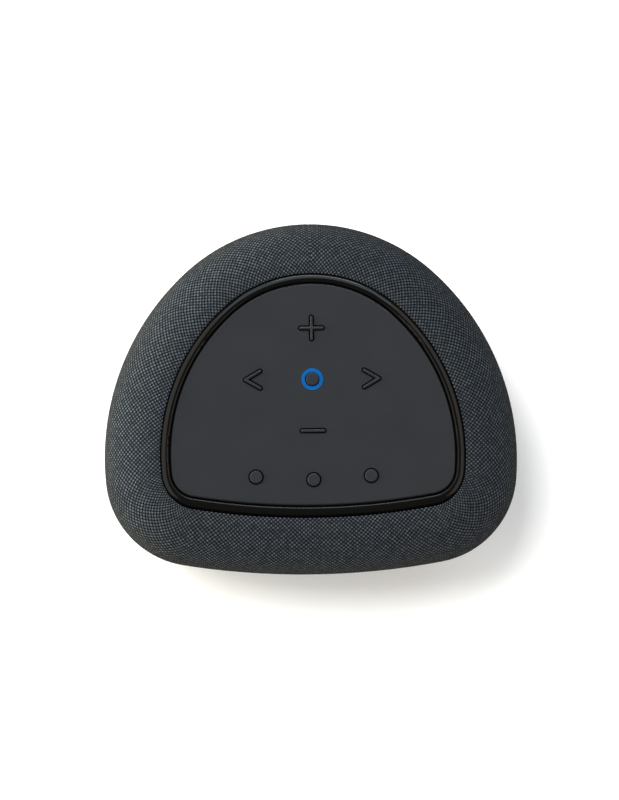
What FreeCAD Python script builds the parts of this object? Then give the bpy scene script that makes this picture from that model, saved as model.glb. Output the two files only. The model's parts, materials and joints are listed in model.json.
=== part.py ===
"""Fabric-covered tabletop smart speaker with a rounded-triangle plan.

Millimetres, +Z up. The origin is on the table under the middle of the plan, -Y is the long front edge.
Every level of the body follows one plan outline, moved inward by an inset, so its arcs keep their centres.
"""
import FreeCAD, Part
import math
import os
import re
import Sketcher
from FreeCAD import Placement, Rotation, Vector

DRIVING_SIZES = {
    # plan outline at its widest level
    "depth": 129.6,
    "back_radius": 67.6,
    "side_radius": 93.4,
    "side_centre_y": -21.8,
    "corner_radius": 33.8,
    "front_radius": 280.0,
    # outer skin, in section
    "crown": 185.4,
    "shoulder_radius": 20.0,
    "skin_low": 16.0,
    "foot_taper": 7.0,
    "lower_roll": 6.0,
    "fabric_thickness": 1.0,
    "grille_outer": 1.1,
    "grille_inner": 3.1,
    "slot_width": 5.0,
    "slot_pitch": 9.0,
    "slot_low": 30.0,
    "slot_high": 150.0,
    # trim ring and control panel
    "trim_outer": 20.8,
    "trim_inner": 24.0,
    "trim_foot": 182.4,
    "trim_crest": 186.0,
    "trim_rise": 1.1,
    "trim_slope_radius": 3.2,
    "trim_inner_round": 0.9,
    "trim_flat": 0.5,
    "panel_inset": 24.5,
    "panel_top": 185.4,
    "panel_thickness": 3.0,
    "panel_edge_round": 0.7,
    "panel_boss_radius": 3.0,
    "panel_bore_radius": 1.35,
    "panel_bore_depth": 6.5,
    "gasket_margin": 0.4,
    "front_boss_x": 40.0,
    "front_boss_y": -18.0,
    "rear_boss_x": 22.0,
    "rear_boss_y": 20.0,
    # keys
    "key_proud": 0.6,
    "key_gap": 0.5,
    "round_key_gap": 0.5,
    "key_travel": 0.4,
    "key_edge_round": 0.45,
    "flange_thickness": 0.9,
    "flange_clearance": 0.15,
    "stroke_width": 1.0,
    "sign_length": 8.9,
    "volume_up_y": 24.0,
    "volume_down_y": -13.3,
    "middle_y": 5.4,
    "arrow_tip_x": 24.65,
    "arrow_end_x": 18.35,
    "arrow_half": 3.6,
    "round_key_radius": 2.3,
    "low_row_x": 20.8,
    "low_row_y": -29.8,
    "low_middle_y": -31.0,
    "stem_radius": 1.2,
    "stem_low": 177.8,
    "sign_flange_radius": 5.5,
    "arrow_flange_radius": 5.2,
    "round_flange_radius": 3.4,
    # light ring round the middle key
    "light_inner": 2.7,
    "light_outer": 3.95,
    "light_low": 181.3,
    "light_gap": 0.1,
    "light_flange_width": 1.5,
    "light_flange_overlap": 0.2,
    # upper frame, control board and electronics bay
    "frame_outer": 20.6,
    "frame_inner": 23.0,
    "ledge_inner": 28.5,
    "ledge_top": 181.2,
    "ledge_thickness": 2.0,
    "ledge_gap": 0.3,
    "shelf_inset": 21.6,
    "shelf_low": 170.0,
    "shelf_top": 172.0,
    "screw_hole_radius": 1.5,
    "panel_screw_radius": 1.3,
    "panel_screw_reach": 6.0,
    "panel_screw_head_radius": 2.7,
    "screw_head_height": 1.6,
    "board_thickness": 1.6,
    "control_board_low": 175.0,
    "control_board_inset": 30.0,
    "board_hole_gap": 0.4,
    "switch_height": 2.7,
    "switch_width": 6.0,
    "switch_bore_gap": 0.08,
    "switch_bore_spare": 0.2,
    "led_half": 0.75,
    "led_height": 0.7,
    "led_reach": 4.4,
    "microphone_half": 1.6,
    "microphone_height": 1.1,
    "spacer_radius": 2.2,
    "ribbon_level": -22.0,
    "ribbon_half_width": 6.0,
    "ribbon_half_thickness": 0.2,
    "ribbon_slot_gap": 1.0,
    "connector_half_width": 8.0,
    "connector_half_depth": 2.0,
    "connector_height": 2.0,
    "main_board_low": 156.0,
    "main_board_half_width": 32.0,
    "main_board_front": -34.0,
    "main_board_back": 18.0,
    "shield_half_width": 15.0,
    "shield_front": -14.0,
    "shield_back": 16.0,
    "shield_height": 2.4,
    "sink_half_width": 14.6,
    "sink_plate_thickness": 1.8,
    "fin_pitch": 4.0,
    "fin_thickness": 1.2,
    "fin_height": 8.0,
    "antenna_inner": 44.0,
    "antenna_outer": 44.8,
    "antenna_front": -20.0,
    "antenna_back": 6.0,
    "antenna_height": 11.0,
    "power_board_low": 9.0,
    "power_board_half_width": 24.0,
    "power_board_front": -34.0,
    "power_board_back": 26.0,
    # sealed enclosure and its drivers
    "enclosure_inset": 13.2,
    "enclosure_wall": 3.0,
    "enclosure_low": 22.0,
    "enclosure_rim": 147.0,
    "lid_low": 147.8,
    "lid_top": 150.0,
    "baffle_front": -48.0,
    "baffle_back": -44.0,
    "baffle_half_width": 50.0,
    "baffle_lift": 1.0,
    "woofer_level": 72.0,
    "woofer_radius": 45.0,
    "woofer_hole": 36.0,
    "woofer_flange": 3.0,
    "woofer_screw_inset": 3.3,
    "woofer_screw_radius": 1.4,
    "woofer_screw_head_radius": 2.4,
    "basket_window_width": 16.0,
    "basket_window_height": 14.0,
    "basket_window_low": -21.0,
    "tweeter_level": 131.0,
    "tweeter_x": 24.0,
    "tweeter_radius": 13.5,
    "tweeter_lip": 2.2,
    "radiator_level": 84.0,
    "radiator_seat": 44.0,
    "radiator_radius": 27.2,
    "radiator_gap": 0.3,
    "radiator_hole": 22.5,
    "well_wall": 2.0,
    "well_depth": 4.0,
    "well_rise": 4.5,
    # base
    "base_low": 3.0,
    "floor_top": 5.5,
    "band_low_inset": 13.0,
    "band_high_inset": 11.6,
    "band_gap": 0.4,
    "spigot_outer": 13.6,
    "spigot_inner": 16.1,
    "base_floor_inset": 14.0,
    "base_post_radius": 4.0,
    "base_screw_radius": 1.4,
    "base_screw_head_radius": 3.0,
    "base_counterbore_depth": 1.5,
    "base_counterbore_radius": 3.3,
    "base_screw_sink": 0.2,
    "foot_outer": 17.0,
    "foot_inner": 25.0,
    "foot_chamfer": 0.8,
    "base_front_x": 46.0,
    "base_front_y": -24.0,
    "base_rear_x": 30.0,
    "base_rear_y": 20.0,
    # sockets in the back of the base
    "socket_x": 10.5,
    "socket_level": 9.75,
    "socket_window_top": 14.0,
    "socket_plate_back": 45.8,
    "socket_plate_front": 47.8,
    "socket_plate_half": 19.0,
    "power_plate_gap": 0.9,
    "power_bore": 3.1,
    "power_bore_depth": 9.5,
    "power_jack_half": 4.5,
    "power_jack_depth": 12.0,
    "power_pin_radius": 1.0,
    "power_pin_setback": 3.0,
    "jack_gap": 0.2,
    "aux_jack_half": 3.4,
    "aux_bore": 1.85,
    "aux_depth": 12.0,
}

AXES = {"across": -2, "up": -1}
ALONG_Z = Vector(0, 0, 1)

document = FreeCAD.newDocument("SmartSpeaker")
sheet = document.addObject("Spreadsheet::Sheet", "Sizes")
for row, (alias, value) in enumerate(DRIVING_SIZES.items(), start=1):
    sheet.set(f"A{row}", alias)
    sheet.set(f"B{row}", str(value))
    sheet.setAlias(f"B{row}", alias)
document.recompute()

pieces = []


# ---------------------------------------------------------------- expressions and sketches

def sized(expression):
    """The expression with each driving size's name pointing at its cell."""
    def cell(match):
        word = match.group()
        return "Sizes." + word if word in DRIVING_SIZES else word
    return re.sub(r"[a-z][a-z_]*", cell, str(expression))


def number(expression):
    value = sheet.evalExpression(sized(expression))
    return float(getattr(value, "Value", value))


def point(across, up):
    return Vector(number(across), number(up), 0)


def new_body(name):
    return document.addObject("PartDesign::Body", name)


def new_sketch(body, role, lift="0"):
    """A sketch on one of the body's own origin planes, lifted along the plane's normal."""
    sketch = body.newObject("Sketcher::SketchObject", body.Name + "_sketch")
    plane = next(feature for feature in body.Origin.OriginFeatures if feature.Role == role)
    sketch.AttachmentSupport = [(plane, "")]
    sketch.MapMode = "FlatFace"
    sketch.setExpression("AttachmentOffset.Base.z", sized(lift))
    return sketch


def dimension(sketch, kind, references, expression):
    """A dimension bound to the sheet. A zero distance from an axis becomes a point on that axis."""
    value = number(expression)
    if kind.startswith("Distance") and abs(value) < 1e-9:
        axis = AXES["across"] if kind == "DistanceX" else AXES["up"]
        sketch.addConstraint(Sketcher.Constraint("PointOnObject", *references[2:], axis))
        return
    index = sketch.addConstraint(Sketcher.Constraint(kind, *references, value))
    sketch.setExpression(f"Constraints[{index}]", sized(expression))


def place_point(sketch, geometry, vertex, across, up):
    dimension(sketch, "DistanceX", (-1, 1, geometry, vertex), across)
    dimension(sketch, "DistanceY", (-1, 1, geometry, vertex), up)


def constrain(sketch, *constraints):
    for constraint in constraints:
        sketch.addConstraint(Sketcher.Constraint(*constraint))


def direction(start, end):
    return math.atan2(end.y - start.y, end.x - start.x)


def mirrored(centre):
    return Vector(-centre.x, centre.y, 0)


def outline_centres():
    """Centres of the plan's back, right-hand side, right-hand corner and front arcs."""
    back = point("0", "depth/2 - back_radius")
    front = point("0", "front_radius - depth/2")
    side_y = number("side_centre_y")
    reach = number("side_radius - back_radius")
    side = Vector(-math.sqrt(reach ** 2 - (side_y - back.y) ** 2), side_y, 0)
    from_side = number("side_radius - corner_radius")
    from_front = number("front_radius - corner_radius")
    link = front - side
    along = (from_side ** 2 - from_front ** 2 + link.Length ** 2) / (2 * link.Length)
    unit = link * (1 / link.Length)
    corner = side + unit * along + Vector(unit.y, -unit.x, 0) * math.sqrt(from_side ** 2 - along ** 2)
    return back, side, corner, front


def outline_sketch(body, lift, inset):
    """The plan outline moved inward by inset: seven tangent arcs, starting at the middle of the back."""
    sketch = new_sketch(body, "XY_Plane", lift)
    back, side, corner, front = outline_centres()
    radii = {arc: number(f"{arc}_radius - ({inset})") for arc in ("back", "side", "corner", "front")}
    to_back = direction(side, back)
    to_side = direction(side, corner)
    to_front = direction(front, corner)
    top = math.pi / 2
    arcs = [
        (back, radii["back"], top, math.pi - to_back),
        (mirrored(side), radii["side"], math.pi - to_back, math.pi - to_side),
        (mirrored(corner), radii["corner"], math.pi - to_side, math.pi - to_front),
        (front, radii["front"], math.pi - to_front, 2 * math.pi + to_front),
        (corner, radii["corner"], to_front, to_side),
        (side, radii["side"], to_side, to_back),
        (back, radii["back"], to_back, top),
    ]
    for centre, radius, start, end in arcs:
        sketch.addGeometry(Part.ArcOfCircle(Part.Circle(centre, ALONG_Z, radius), start, end), False)
    for arc in range(6):
        constrain(sketch, ("Tangent", arc, 2, arc + 1, 1))
    constrain(sketch, ("Coincident", 6, 2, 0, 1), ("Coincident", 0, 3, 6, 3), ("PointOnObject", 0, 1, -2),
              ("PointOnObject", 0, 3, -2), ("PointOnObject", 3, 3, -2))
    for arc, radius in ((0, "back"), (1, "side"), (2, "corner"), (3, "front"), (4, "corner"), (5, "side")):
        dimension(sketch, "Radius", (arc,), f"{radius}_radius - ({inset})")
    dimension(sketch, "DistanceY", (-1, 1, 0, 3), "depth/2 - back_radius")
    dimension(sketch, "DistanceY", (-1, 1, 3, 3), "front_radius - depth/2")
    for arc in (1, 5):
        dimension(sketch, "DistanceY", (-1, 1, arc, 3), "side_centre_y")
    return sketch


def arc_between(start, end, radius):
    """The short arc from start to end, counter-clockwise where radius is positive."""
    chord = end - start
    middle = (start + end) * 0.5
    left = Vector(-chord.y, chord.x, 0) * (1 / chord.Length)
    height = math.sqrt(max(radius ** 2 - chord.Length ** 2 / 4, 0))
    centre = middle + left * math.copysign(height, radius)
    first, last = (start, end) if radius > 0 else (end, start)
    angles = direction(centre, first), direction(centre, last)
    if angles[1] < angles[0]:
        angles = angles[0], angles[1] + 2 * math.pi
    return Part.ArcOfCircle(Part.Circle(centre, ALONG_Z, abs(radius)), *angles)


def traced_sketch(body, role, vertices, lift="0"):
    """A closed outline through (across, up) pairs. A third item is the radius of an arc to the next pair."""
    sketch = new_sketch(body, role, lift)
    corners = [point(*vertex[:2]) for vertex in vertices]
    ends = []
    for index, vertex in enumerate(vertices):
        start = corners[index]
        end = corners[(index + 1) % len(vertices)]
        if len(vertex) == 2:
            sketch.addGeometry(Part.LineSegment(start, end), False)
            ends.append((1, 2))
        else:
            radius = number(vertex[2])
            sketch.addGeometry(arc_between(start, end, radius), False)
            ends.append((1, 2) if radius > 0 else (2, 1))
    for index, vertex in enumerate(vertices):
        following = (index + 1) % len(vertices)
        constrain(sketch, ("Coincident", index, ends[index][1], following, ends[following][0]))
        place_point(sketch, index, ends[index][0], *vertex[:2])
        if len(vertex) == 3:
            dimension(sketch, "Radius", (index,), str(vertex[2]).lstrip("-"))
    return sketch


def circles_sketch(body, lift, centres, radius):
    sketch = new_sketch(body, "XY_Plane", lift)
    for index, (across, up) in enumerate(centres):
        sketch.addGeometry(Part.Circle(point(across, up), ALONG_Z, number(radius)), False)
        place_point(sketch, index, 3, across, up)
        dimension(sketch, "Radius", (index,), radius)
    return sketch


def slot_sketch(body, lift, start, end, half_width):
    """A round-ended stroke between two (across, up) points."""
    sketch = new_sketch(body, "XY_Plane", lift)
    first = point(*start)
    last = point(*end)
    radius = number(half_width)
    heading = direction(first, last)
    offset = Vector(-math.sin(heading), math.cos(heading), 0) * radius
    quarter = math.pi / 2
    shapes = [
        Part.ArcOfCircle(Part.Circle(first, ALONG_Z, radius), heading + quarter, heading + 3 * quarter),
        Part.LineSegment(first - offset, last - offset),
        Part.ArcOfCircle(Part.Circle(last, ALONG_Z, radius), heading - quarter, heading + quarter),
        Part.LineSegment(last + offset, first + offset),
    ]
    for shape in shapes:
        sketch.addGeometry(shape, False)
    for index in range(4):
        constrain(sketch, ("Tangent", index, 2, (index + 1) % 4, 1))
    place_point(sketch, 0, 3, *start)
    place_point(sketch, 2, 3, *end)
    dimension(sketch, "Radius", (0,), half_width)
    constrain(sketch, ("Equal", 0, 2))
    return sketch


def skin_sketch(body, outer, inner):
    """Section of the outer skin at the middle of the back, between two offsets inward from its surface.

    A roll under the bottom edge, a leaning wall and a quarter-round shoulder meet tangentially.
    """
    sketch = new_sketch(body, "YZ_Plane")
    shoulder = point("depth/2 - shoulder_radius", "crown - shoulder_radius")
    roll = point("depth/2 - foot_taper - lower_roll", "skin_low + lower_roll")
    shoulder_radius = number("shoulder_radius")
    roll_radius = number("lower_roll")
    link = shoulder - roll
    lean = direction(roll, shoulder) - math.acos((roll_radius - shoulder_radius) / link.Length)
    outward = Vector(math.cos(lean), math.sin(lean), 0)
    sides = []
    for offset in (number(outer), number(inner)):
        low = Part.Circle(roll, ALONG_Z, roll_radius - offset)
        high = Part.Circle(shoulder, ALONG_Z, shoulder_radius - offset)
        wall = Part.LineSegment(roll + outward * low.Radius, shoulder + outward * high.Radius)
        sides.append((Part.ArcOfCircle(low, -math.pi / 2, lean), wall,
                      Part.ArcOfCircle(high, lean, math.pi / 2)))
    (outer_roll, outer_wall, outer_shoulder), (inner_roll, inner_wall, inner_shoulder) = sides
    top_edge = Part.LineSegment(outer_shoulder.EndPoint, inner_shoulder.EndPoint)
    low_edge = Part.LineSegment(inner_roll.StartPoint, outer_roll.StartPoint)
    for shape in (outer_roll, outer_wall, outer_shoulder, top_edge,
                  inner_shoulder, inner_wall, inner_roll, low_edge):
        sketch.addGeometry(shape, False)
    constrain(sketch, ("Tangent", 0, 2, 1, 1), ("Tangent", 1, 2, 2, 1), ("Coincident", 2, 2, 3, 1),
              ("Coincident", 3, 2, 4, 2), ("Tangent", 4, 1, 5, 2), ("Tangent", 5, 1, 6, 2),
              ("Coincident", 6, 1, 7, 1), ("Coincident", 7, 2, 0, 1), ("Vertical", 3), ("Vertical", 7),
              ("Coincident", 2, 3, 4, 3), ("Coincident", 0, 3, 6, 3),
              ("Vertical", 2, 3, 2, 2), ("Vertical", 0, 3, 0, 1))
    dimension(sketch, "Radius", (2,), f"shoulder_radius - {outer}")
    dimension(sketch, "Radius", (4,), f"shoulder_radius - {inner}")
    dimension(sketch, "Radius", (0,), f"lower_roll - {outer}")
    dimension(sketch, "Radius", (6,), f"lower_roll - {inner}")
    place_point(sketch, 2, 3, "depth/2 - shoulder_radius", "crown - shoulder_radius")
    place_point(sketch, 0, 3, "depth/2 - foot_taper - lower_roll", "skin_low + lower_roll")
    return sketch


def section_sketch(body, corners):
    """Section of a ring that follows the plan, from (inset, level[, radius]) corners."""
    vertices = [(f"depth/2 - ({corner[0]})", *corner[1:]) for corner in corners]
    return traced_sketch(body, "YZ_Plane", vertices)


# ---------------------------------------------------------------- features

def pad(body, sketch, length, downward=False):
    feature = body.newObject("PartDesign::Pad", body.Name + "_pad")
    feature.Profile = sketch
    feature.setExpression("Length", sized(length))
    feature.Reversed = downward
    return feature


def pocket(body, sketch, length, upward=True):
    feature = body.newObject("PartDesign::Pocket", body.Name + "_pocket")
    feature.Profile = sketch
    feature.setExpression("Length", sized(length))
    feature.Reversed = upward
    return feature


def sweep_round(body, section):
    """The section swept once round the plan outline."""
    path = outline_sketch(body, "0", "0")
    document.recompute()
    feature = body.newObject("PartDesign::AdditivePipe", body.Name + "_sweep")
    feature.Profile = section
    feature.Spine = path
    return feature


def turn(body, section):
    feature = body.newObject("PartDesign::Revolution", body.Name + "_turn")
    feature.Profile = section
    feature.ReferenceAxis = (section, ["V_Axis"])
    feature.Angle = 360
    return feature


def round_level(body, feature, level, radius):
    """Round the outer edges that lie flat at one level."""
    document.recompute()
    height = number(level)
    edges = []
    for index, edge in enumerate(feature.Shape.Edges, start=1):
        if all(abs(vertex.Z - height) < 1e-4 for vertex in edge.Vertexes):
            middle = edge.valueAt((edge.FirstParameter + edge.LastParameter) / 2)
            if abs(middle.z - height) < 1e-4:
                edges.append(f"Edge{index}")
    fillet = body.newObject("PartDesign::Fillet", body.Name + "_round")
    fillet.Base = (feature, edges)
    fillet.setExpression("Radius", sized(radius))
    return fillet


def block(name, low, high):
    """A box between two corners given as expressions."""
    box = document.addObject("Part::Box", name)
    for side, axis, start, end in zip(("Length", "Width", "Height"), "xyz", low, high):
        box.setExpression(side, sized(f"({end}) - ({start})"))
        box.setExpression(f"Placement.Base.{axis}", sized(start))
    return box


def ribbon_block(name, half_width, half_depth, low, high):
    """A block centred on the line of the ribbon cable."""
    return block(name, (f"-{half_width}", f"ribbon_level - {half_depth}", low),
                 (half_width, f"ribbon_level + {half_depth}", high))


def rod(name, centre, low, high, radius):
    """An upright cylinder."""
    cylinder = document.addObject("Part::Cylinder", name)
    cylinder.setExpression("Radius", sized(radius))
    cylinder.setExpression("Height", sized(f"({high}) - ({low})"))
    for axis, value in zip("xyz", (*centre, low)):
        cylinder.setExpression(f"Placement.Base.{axis}", sized(value))
    return cylinder


def cross_rod(name, across, level, front, back, radius):
    """A cylinder that lies along Y."""
    cylinder = document.addObject("Part::Cylinder", name)
    cylinder.Placement = Placement(Vector(), Rotation(Vector(1, 0, 0), -90))
    cylinder.setExpression("Radius", sized(radius))
    cylinder.setExpression("Height", sized(f"({back}) - ({front})"))
    for axis, value in zip("xyz", (across, front, level)):
        cylinder.setExpression(f"Placement.Base.{axis}", sized(value))
    return cylinder


def joined(name, shapes):
    union = document.addObject("Part::MultiFuse", name)
    union.Shapes = shapes
    return union


def grouped(name, shapes):
    compound = document.addObject("Part::Compound", name)
    compound.Links = shapes
    return compound


def cut(name, base, tools):
    """The base less its tools."""
    difference = document.addObject("Part::Cut", name)
    difference.Base = base
    difference.Tool = tools[0] if len(tools) == 1 else joined(name + "_tools", tools)
    return difference


def finished(piece, name=None):
    """Register a sub-part under the name of its file."""
    piece.Label = name or piece.Name
    pieces.append(piece)
    return piece


def facing(outward, across, seat, level):
    """Placement of a driver made upright about Z: outward is -1 for the front, 1 for the back."""
    turned = Rotation(Vector(1, 0, 0), -90 * outward)
    return Placement(Vector(number(across), number(seat), number(level)), turned)


def turned_piece(name, corners, placement):
    """A sub-part turned about its own axis from (radius, height[, arc radius]) corners."""
    body = new_body(name)
    turn(body, traced_sketch(body, "XZ_Plane", corners))
    body.Placement = placement
    return finished(body)


def ring_piece(name, corners):
    """A sub-part that follows the plan with one closed section."""
    body = new_body(name)
    sweep_round(body, section_sketch(body, corners))
    return finished(body)


# ---------------------------------------------------------------- outer skin

def make_fabric_sleeve():
    body = new_body("fabric_sleeve")
    sweep_round(body, skin_sketch(body, "0", "fabric_thickness"))
    finished(body)


def make_grille_shell():
    """Rigid shell under the fabric, with upright sound slots through its front and back."""
    shell = new_body("grille_blank")
    sweep_round(shell, skin_sketch(shell, "grille_outer", "grille_inner"))
    slots = [block(f"grille_slot_{index + 5}",
                   (f"{index}*slot_pitch - slot_width/2", "-depth", "slot_low"),
                   (f"{index}*slot_pitch + slot_width/2", "depth", "slot_high"))
             for index in range(-5, 6)]
    finished(cut("grille_shell", shell, slots))


# ---------------------------------------------------------------- trim ring and panel

def make_top_trim_ring():
    """A glossy bead: a domed outward slope, a narrow flat top and a rounded inner edge beside the panel."""
    ring_piece("top_trim_ring", [
        ("trim_outer", "trim_crest - trim_rise"),
        ("trim_outer", "trim_foot"),
        ("trim_inner", "trim_foot"),
        ("trim_inner", "trim_crest - trim_inner_round", "-trim_inner_round"),
        ("trim_inner - trim_inner_round", "trim_crest"),
        ("trim_inner - trim_inner_round - trim_flat", "trim_crest", "-trim_slope_radius"),
    ])


STROKE_END = "sign_length/2 - stroke_width/2"
ARROW_END_Y = "arrow_half - stroke_width/2"
PANEL_BOSSES = [("front_boss_x", "front_boss_y"), ("-front_boss_x", "front_boss_y"),
                ("rear_boss_x", "rear_boss_y"), ("-rear_boss_x", "rear_boss_y")]


def bar(level):
    """A horizontal stroke, the minus sign and half of the plus sign."""
    return (f"-({STROKE_END})", level), (STROKE_END, level)


def arrow(side):
    """The two strokes of an arrow head whose tip points to one side."""
    tip = (f"{side}*(arrow_tip_x - stroke_width/2)", "middle_y")
    end_x = f"{side}*(arrow_end_x + stroke_width/2)"
    return [(tip, (end_x, f"middle_y + {ARROW_END_Y}")), (tip, (end_x, f"middle_y - ({ARROW_END_Y})"))]


# name: strokes of the raised sign (none on a round key), centre of the flange below it, flange radius
KEYS = {
    "volume_up_key": ([bar("volume_up_y"),
                       (("0", f"volume_up_y - ({STROKE_END})"), ("0", f"volume_up_y + {STROKE_END}"))],
                      ("0", "volume_up_y"), "sign_flange_radius"),
    "volume_down_key": ([bar("volume_down_y")], ("0", "volume_down_y"), "sign_flange_radius"),
    "previous_key": (arrow(-1), ("-(arrow_tip_x + arrow_end_x)/2", "middle_y"), "arrow_flange_radius"),
    "next_key": (arrow(1), ("(arrow_tip_x + arrow_end_x)/2", "middle_y"), "arrow_flange_radius"),
    "action_key": ([], ("0", "middle_y"), "round_flange_radius"),
    "bluetooth_key": ([], ("-low_row_x", "low_row_y"), "round_flange_radius"),
    "microphone_mute_key": ([], ("0", "low_middle_y"), "round_flange_radius"),
    "power_key": ([], ("low_row_x", "low_row_y"), "round_flange_radius"),
}


def make_top_panel():
    body = new_body("top_panel")
    plate = pad(body, outline_sketch(body, "panel_top - panel_thickness", "panel_inset"), "panel_thickness")
    round_level(body, plate, "panel_top", "panel_edge_round")
    pad(body, circles_sketch(body, "shelf_top", PANEL_BOSSES, "panel_boss_radius"),
        "panel_top - panel_thickness - shelf_top")
    document.recompute()
    pocket(body, circles_sketch(body, "shelf_top", PANEL_BOSSES, "panel_bore_radius"), "panel_bore_depth")
    underside = "panel_top - panel_thickness"
    for strokes, centre, _ in KEYS.values():
        for start, end in strokes:
            opening = slot_sketch(body, underside, start, end, "stroke_width/2 + key_gap")
            pocket(body, opening, "panel_thickness")
    pocket(body, circles_sketch(body, underside, round_key_centres(), "round_key_radius + round_key_gap"),
           "panel_thickness")
    pocket(body, circles_sketch(body, underside, [("0", "middle_y")], "light_outer + light_gap"),
           "panel_thickness")
    finished(body)


def round_key_centres():
    return [centre for name, (strokes, centre, _) in KEYS.items() if not strokes and name != "action_key"]


def make_key(name, strokes, centre, flange_radius):
    """A raised sign or round cap through the panel, a flange that holds it in, and a stem into its switch."""
    body = new_body(name)
    flange_top = "panel_top - panel_thickness - flange_clearance"
    if name == "action_key":
        flange_top = "light_low - 2*flange_clearance"
    cap_height = f"panel_top + key_proud - ({flange_top})"
    if strokes:
        for start, end in strokes:
            feature = pad(body, slot_sketch(body, flange_top, start, end, "stroke_width/2"), cap_height)
    else:
        feature = pad(body, circles_sketch(body, flange_top, [centre], "round_key_radius"), cap_height)
    round_level(body, feature, "panel_top + key_proud", "key_edge_round")
    pad(body, circles_sketch(body, flange_top, [centre], flange_radius), "flange_thickness", downward=True)
    pad(body, circles_sketch(body, "stem_low", [centre], "stem_radius"), f"{flange_top} - stem_low")
    finished(body)


def make_light_ring():
    """A clear tube round the action key, held under the panel by its flange."""
    centre = ("0", "middle_y")
    crest = "panel_top + light_gap"
    underside = "panel_top - panel_thickness"
    tube = cut("light_tube", rod("light_tube_outside", centre, "light_low", crest, "light_outer"),
               [rod("light_tube_bore", centre, "light_low", crest, "light_inner")])
    flange = cut("light_flange",
                 rod("light_flange_outside", centre, "light_low", underside,
                     "light_outer + light_flange_width"),
                 [rod("light_flange_bore", centre, "light_low", underside,
                      "light_outer - light_flange_overlap")])
    finished(joined("light_ring", [tube, flange]))


def make_panel_gasket():
    ring_piece("panel_gasket", [
        ("panel_inset + gasket_margin", "ledge_top"),
        ("ledge_inner - gasket_margin", "ledge_top"),
        ("ledge_inner - gasket_margin", "panel_top - panel_thickness"),
        ("panel_inset + gasket_margin", "panel_top - panel_thickness"),
    ])


# ---------------------------------------------------------------- upper frame and control board

def make_upper_frame():
    """Wall that carries the trim ring and the panel's ledge, with a shelf across it for the control board."""
    body = new_body("upper_frame_blank")
    sweep_round(body, section_sketch(body, [
        ("frame_outer", "trim_foot"),
        ("frame_outer", "lid_top"),
        ("frame_inner", "lid_top"),
        ("frame_inner", "ledge_top - ledge_thickness"),
        ("ledge_inner", "ledge_top - ledge_thickness"),
        ("ledge_inner", "ledge_top"),
        ("panel_inset - ledge_gap", "ledge_top"),
        ("panel_inset - ledge_gap", "trim_foot"),
    ]))
    pad(body, outline_sketch(body, "shelf_low", "shelf_inset"), "shelf_top - shelf_low")
    openings = [rod(f"shelf_screw_hole_{index}", centre, "shelf_low", "shelf_top", "screw_hole_radius")
                for index, centre in enumerate(PANEL_BOSSES)]
    openings.append(ribbon_block("ribbon_slot", "(ribbon_half_width + ribbon_slot_gap)", "ribbon_slot_gap",
                                 "shelf_low", "shelf_top"))
    finished(cut("upper_frame", body, openings))


# places of the spacers under each circuit board, and the levels between which they stand
SPACERS = [
    ([("32", "-29"), ("-32", "-29"), ("14", "28.5"), ("-14", "28.5")], "shelf_top", "control_board_low"),
    ([("28", "-30"), ("-28", "-30"), ("28", "14"), ("-28", "14")], "lid_top", "main_board_low"),
    ([("20", "-30"), ("-20", "-30"), ("20", "22"), ("-20", "22")], "floor_top", "power_board_low"),
]


def make_board_spacers():
    spacers = [rod(f"spacer_{low}_{index}", centre, low, high, "spacer_radius")
               for centres, low, high in SPACERS for index, centre in enumerate(centres)]
    finished(grouped("board_spacers", spacers))


def make_control_board():
    body = new_body("control_board")
    pad(body, outline_sketch(body, "control_board_low", "control_board_inset"), "board_thickness")
    holes = circles_sketch(body, "control_board_low", PANEL_BOSSES, "panel_boss_radius + board_hole_gap")
    pocket(body, holes, "board_thickness")
    finished(body)


def around(centre, half_width, low, high):
    """Opposite corners of a square block round an upright line."""
    across, up = centre
    return ((f"{across} - {half_width}", f"{up} - {half_width}", low),
            (f"{across} + {half_width}", f"{up} + {half_width}", high))


LEDS = [("led_reach", "middle_y"), ("-led_reach", "middle_y"),
        ("0", "middle_y + led_reach"), ("0", "middle_y - led_reach")]
MICROPHONES = [("-36", "-8"), ("36", "-8"), ("-10", "-33"), ("10", "-33")]


def make_board_parts():
    seat = "control_board_low + board_thickness"
    switches = []
    for name, (_, centre, _) in KEYS.items():
        base = name.replace("_key", "")
        housing = block(f"{base}_switch", *around(centre, "switch_width/2", seat, f"{seat} + switch_height"))
        bore = rod(f"{base}_switch_bore", centre, "stem_low - key_travel - switch_bore_spare",
                   f"{seat} + switch_height", "stem_radius + switch_bore_gap")
        switches.append(cut(f"{base}_switch_case", housing, [bore]))
    finished(grouped("tact_switches", switches))
    leds = [block(f"led_{index}", *around(centre, "led_half", seat, f"{seat} + led_height"))
            for index, centre in enumerate(LEDS)]
    finished(grouped("light_ring_leds", leds))
    microphones = [block(f"microphone_{index}", *around(centre, "microphone_half", seat,
                                                        f"{seat} + microphone_height"))
                   for index, centre in enumerate(MICROPHONES)]
    finished(grouped("microphones", microphones))


def make_panel_screws():
    screws = []
    for index, centre in enumerate(PANEL_BOSSES):
        head = rod(f"panel_screw_head_{index}", centre, "shelf_low - screw_head_height", "shelf_low",
                   "panel_screw_head_radius")
        shank = rod(f"panel_screw_shank_{index}", centre, "shelf_low", "shelf_top + panel_screw_reach",
                    "panel_screw_radius")
        screws.append(joined(f"panel_screw_{index}", [head, shank]))
    finished(grouped("panel_screws", screws))


# ---------------------------------------------------------------- electronics bay

MAIN_BOARD_TOP = "main_board_low + board_thickness"
POWER_BOARD_TOP = "power_board_low + board_thickness"

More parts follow.
